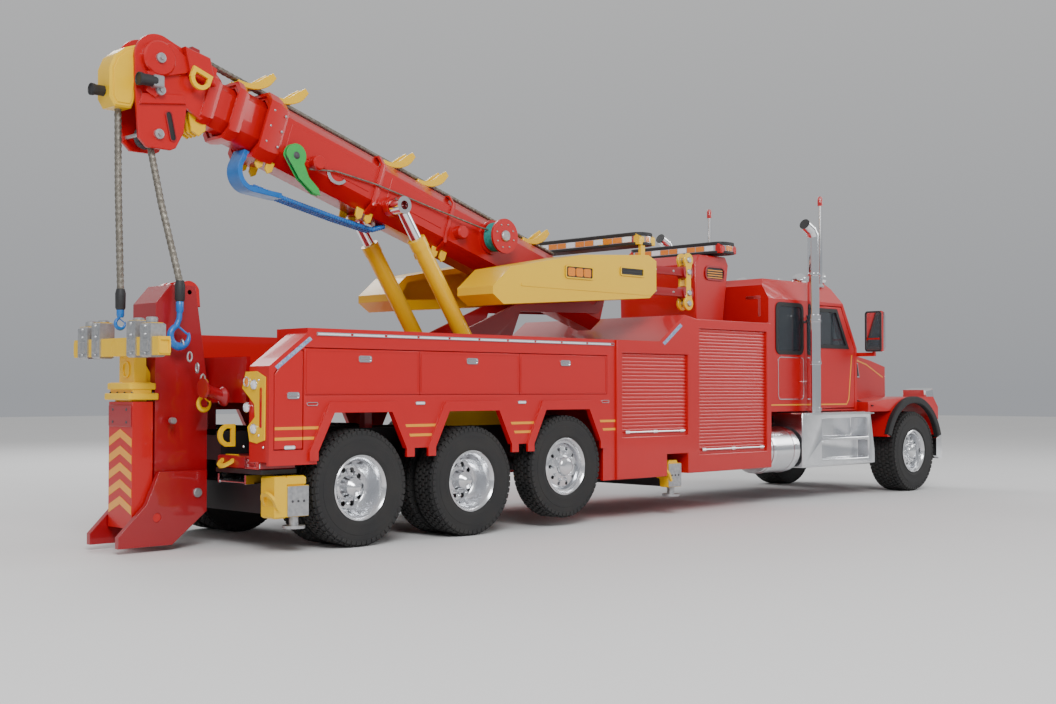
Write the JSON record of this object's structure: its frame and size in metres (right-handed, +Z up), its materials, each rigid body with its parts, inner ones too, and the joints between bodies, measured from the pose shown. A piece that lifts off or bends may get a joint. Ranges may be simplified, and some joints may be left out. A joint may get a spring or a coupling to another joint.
{
  "type": "rotator tow truck",
  "caption": "Heavy recovery truck with sleeper cab, lifted pusher axle, side compartments, slewing telescopic boom, folding underlift and outriggers",
  "frame": {"origin": "On the ground, at the centre of the bounding box", "axes": "+X forward, +Y to the truck's left, +Z up"},
  "size_m": [12.62, 2.86, 4.6311],
  "materials": {
    "paint_red": "gloss red enamel",
    "paint_dark_red": "gloss dark red enamel",
    "paint_yellow": "gloss yellow enamel",
    "chrome": "polished chrome",
    "aluminium": "polished aluminium",
    "frame_black": "satin black paint",
    "zinc_steel": "galvanised steel",
    "cast_grey": "painted casting",
    "tyre": "black tyre rubber",
    "window_glass": "tinted glass",
    "seat_leather": "black leather",
    "black_plastic": "moulded plastic"
  },
  "bodies": {
    "root": {"frame_rails": "frame_black", "axle_beams": "cast_grey", "engine_block": "cast_grey", "fuel_tanks": "aluminium", "cab_steps": "aluminium", "front_bumper": "chrome", "exhaust_stacks": "chrome", "cab_shell": "paint_red", "cab_glass": "window_glass", "cab_seats": "seat_leather", "dashboard": "black_plastic", "mirrors": "paint_red", "left_bins": "paint_red", "right_bins": "paint_red", "deck": "paint_dark_red", "tunnel_boxes": "paint_red", "shutters": "paint_red", "slew_pedestal": "paint_yellow", "light_mast": "paint_red", "underlift_mast": "paint_dark_red"},
    "knuckle_left": {"knuckle_left": "cast_grey"},
    "steer_wheel_left": {"steer_wheel_left": "tyre"},
    "pusher_wheel_left": {"pusher_wheel_left": "tyre"},
    "front_duals_left": {"front_duals_left": "tyre"},
    "rear_duals_left": {"rear_duals_left": "tyre"},
    "bin_door_rear_left": {"bin_door_rear_left": "paint_red"},
    "bin_door_mid_left": {"bin_door_mid_left": "paint_red"},
    "bin_door_front_left": {"bin_door_front_left": "paint_red"},
    "corner_door_left": {"corner_door_left": "paint_red"},
    "cab_door_left": {"cab_door_left": "paint_red"},
    "outrigger_front_left": {"outrigger_front_left": "paint_yellow"},
    "foot_front_left": {"foot_front_left": "zinc_steel"},
    "outrigger_rear_left": {"outrigger_rear_left": "paint_yellow"},
    "foot_rear_left": {"foot_rear_left": "zinc_steel"},
    "knuckle_right": {"knuckle_right": "cast_grey"},
    "steer_wheel_right": {"steer_wheel_right": "tyre"},
    "pusher_wheel_right": {"pusher_wheel_right": "tyre"},
    "front_duals_right": {"front_duals_right": "tyre"},
    "rear_duals_right": {"rear_duals_right": "tyre"},
    "bin_door_rear_right": {"bin_door_rear_right": "paint_red"},
    "bin_door_mid_right": {"bin_door_mid_right": "paint_red"},
    "bin_door_front_right": {"bin_door_front_right": "paint_red"},
    "corner_door_right": {"corner_door_right": "paint_red"},
    "cab_door_right": {"cab_door_right": "paint_red"},
    "outrigger_front_right": {"outrigger_front_right": "paint_yellow"},
    "foot_front_right": {"foot_front_right": "zinc_steel"},
    "outrigger_rear_right": {"outrigger_rear_right": "paint_yellow"},
    "foot_rear_right": {"foot_rear_right": "zinc_steel"},
    "hood": {"hood": "paint_red"},
    "turret": {"turret_frame": "paint_dark_red", "turret_covers": "paint_yellow"},
    "boom_outer": {"boom_outer": "paint_red"},
    "boom_middle": {"boom_middle": "paint_red"},
    "boom_tip": {"boom_tip": "paint_red"},
    "lift_barrels": {"lift_barrels": "paint_yellow"},
    "lift_rods": {"lift_rods": "chrome"},
    "underlift_boom": {"underlift_boom": "paint_red"},
    "underlift_stinger": {"underlift_stinger": "paint_yellow"},
    "crossbar": {"crossbar": "paint_yellow"}
  },
  "joints": [
    {"name": "steer_left", "type": "hinge", "parent": "root", "child": "knuckle_left", "pos_m": [5.46, 0.9, 0.56], "axis": [0, 0, 1], "range_deg": [-32, 32]},
    {"name": "steer_wheel_spin_left", "type": "hinge", "parent": "knuckle_left", "child": "steer_wheel_left", "pos_m": [5.46, 1.04, 0.56], "axis": [0, 1, 0], "continuous": true},
    {"name": "pusher_wheel_spin_left", "type": "hinge", "parent": "root", "child": "pusher_wheel_left", "pos_m": [-1.74, 1.13, 0.625], "axis": [0, 1, 0], "continuous": true},
    {"name": "front_duals_spin_left", "type": "hinge", "parent": "root", "child": "front_duals_left", "pos_m": [-3.07, 1.13, 0.535], "axis": [0, 1, 0], "continuous": true},
    {"name": "rear_duals_spin_left", "type": "hinge", "parent": "root", "child": "rear_duals_left", "pos_m": [-4.44, 1.13, 0.535], "axis": [0, 1, 0], "continuous": true},
    {"name": "bin_door_rear_drop_left", "type": "hinge", "parent": "root", "child": "bin_door_rear_left", "pos_m": [-4.4135, 1.275, 1.38], "axis": [-1, 0, 0], "range_deg": [0, 90]},
    {"name": "bin_door_mid_drop_left", "type": "hinge", "parent": "root", "child": "bin_door_mid_left", "pos_m": [-3.0885, 1.275, 1.38], "axis": [-1, 0, 0], "range_deg": [0, 90]},
    {"name": "bin_door_front_drop_left", "type": "hinge", "parent": "root", "child": "bin_door_front_left", "pos_m": [-1.7635, 1.275, 1.38], "axis": [-1, 0, 0], "range_deg": [0, 90]},
    {"name": "corner_door_swing_left", "type": "hinge", "parent": "root", "child": "corner_door_left", "pos_m": [-5.1, 1.275, 1.3], "axis": [0, 0, -1], "range_deg": [0, 85]},
    {"name": "cab_door_swing_left", "type": "hinge", "parent": "root", "child": "cab_door_left", "pos_m": [4.21, 1.05, 1.5], "axis": [0, 0, -1], "range_deg": [0, 70]},
    {"name": "outrigger_front_slide_left", "type": "slide", "parent": "root", "child": "outrigger_front_left", "axis": [0, 1, 0], "range_m": [0, 0.85]},
    {"name": "foot_front_drop_left", "type": "slide", "parent": "outrigger_front_left", "child": "foot_front_left", "axis": [0, 0, -1], "range_m": [0, 0.19]},
    {"name": "outrigger_rear_slide_left", "type": "slide", "parent": "root", "child": "outrigger_rear_left", "axis": [0, 1, 0], "range_m": [0, 0.85]},
    {"name": "foot_rear_drop_left", "type": "slide", "parent": "outrigger_rear_left", "child": "foot_rear_left", "axis": [0, 0, -1], "range_m": [0, 0.19]},
    {"name": "steer_right", "type": "hinge", "parent": "root", "child": "knuckle_right", "pos_m": [5.46, -0.9, 0.56], "axis": [0, 0, 1], "range_deg": [-32, 32]},
    {"name": "steer_wheel_spin_right", "type": "hinge", "parent": "knuckle_right", "child": "steer_wheel_right", "pos_m": [5.46, -1.04, 0.56], "axis": [0, 1, 0], "continuous": true},
    {"name": "pusher_wheel_spin_right", "type": "hinge", "parent": "root", "child": "pusher_wheel_right", "pos_m": [-1.74, -1.13, 0.625], "axis": [0, 1, 0], "continuous": true},
    {"name": "front_duals_spin_right", "type": "hinge", "parent": "root", "child": "front_duals_right", "pos_m": [-3.07, -1.13, 0.535], "axis": [0, 1, 0], "continuous": true},
    {"name": "rear_duals_spin_right", "type": "hinge", "parent": "root", "child": "rear_duals_right", "pos_m": [-4.44, -1.13, 0.535], "axis": [0, 1, 0], "continuous": true},
    {"name": "bin_door_rear_drop_right", "type": "hinge", "parent": "root", "child": "bin_door_rear_right", "pos_m": [-4.4135, -1.275, 1.38], "axis": [1, 0, 0], "range_deg": [0, 90]},
    {"name": "bin_door_mid_drop_right", "type": "hinge", "parent": "root", "child": "bin_door_mid_right", "pos_m": [-3.0885, -1.275, 1.38], "axis": [1, 0, 0], "range_deg": [0, 90]},
    {"name": "bin_door_front_drop_right", "type": "hinge", "parent": "root", "child": "bin_door_front_right", "pos_m": [-1.7635, -1.275, 1.38], "axis": [1, 0, 0], "range_deg": [0, 90]},
    {"name": "corner_door_swing_right", "type": "hinge", "parent": "root", "child": "corner_door_right", "pos_m": [-5.1, -1.275, 1.3], "axis": [0, 0, 1], "range_deg": [0, 85]},
    {"name": "cab_door_swing_right", "type": "hinge", "parent": "root", "child": "cab_door_right", "pos_m": [4.21, -1.05, 1.5], "axis": [0, 0, 1], "range_deg": [0, 70]},
    {"name": "outrigger_front_slide_right", "type": "slide", "parent": "root", "child": "outrigger_front_right", "axis": [0, -1, 0], "range_m": [0, 0.85]},
    {"name": "foot_front_drop_right", "type": "slide", "parent": "outrigger_front_right", "child": "foot_front_right", "axis": [0, 0, -1], "range_m": [0, 0.19]},
    {"name": "outrigger_rear_slide_right", "type": "slide", "parent": "root", "child": "outrigger_rear_right", "axis": [0, -1, 0], "range_m": [0, 0.85]},
    {"name": "foot_rear_drop_right", "type": "slide", "parent": "outrigger_rear_right", "child": "foot_rear_right", "axis": [0, 0, -1], "range_m": [0, 0.19]},
    {"name": "hood_tilt", "type": "hinge", "parent": "root", "child": "hood", "pos_m": [6.135, 0, 0.85], "axis": [0, 1, 0], "range_deg": [0, 75]},
    {"name": "turret_slew", "type": "hinge", "parent": "root", "child": "turret", "pos_m": [-2.19, 0, 1.5], "axis": [0, 0, 1], "continuous": true},
    {"name": "boom_luff", "type": "hinge", "parent": "turret", "child": "boom_outer", "pos_m": [-0.24, 0, 2.5], "axis": [0, 1, 0], "range_deg": [-8, 30]},
    {"name": "boom_extend", "type": "slide", "parent": "boom_outer", "child": "boom_middle", "axis": [-0.9532, 0, 0.3024], "range_m": [0, 2.6]},
    {"name": "boom_tip_extend", "type": "slide", "parent": "boom_middle", "child": "boom_tip", "axis": [-0.9532, 0, 0.3024], "range_m": [0, 2.6]},
    {"name": "lift_barrel_tilt", "type": "hinge", "parent": "turret", "child": "lift_barrels", "pos_m": [-2.19, 0, 1.7], "axis": [0, 1, 0], "range_deg": [-9, 31]},
    {"name": "lift_rod_slide", "type": "slide", "parent": "lift_barrels", "child": "lift_rods", "axis": [-0.5595, 0, 0.8288], "range_m": [-0.3, 1.1]},
    {"name": "underlift_fold", "type": "hinge", "parent": "root", "child": "underlift_boom", "pos_m": [-5.94, 0, 0.3], "axis": [0, -1, 0], "range_deg": [0, 90]},
    {"name": "stinger_extend", "type": "slide", "parent": "underlift_boom", "child": "underlift_stinger", "axis": [0, 0, 1], "range_m": [0, 0.6]},
    {"name": "crossbar_swivel", "type": "hinge", "parent": "underlift_stinger", "child": "crossbar", "pos_m": [-6.14, 0, 1.8], "axis": [1, 0, 0], "range_deg": [-30, 30]}
  ],
  "couplings": [
    {"joint": "steer_right", "follows": "steer_left", "ratio": 1},
    {"joint": "boom_tip_extend", "follows": "boom_extend", "ratio": 1},
    {"joint": "lift_barrel_tilt", "follows": "boom_luff", "ratio": 1},
    {"joint": "lift_rod_slide", "follows": "boom_luff", "m_per_rad": 2.07}
  ]
}
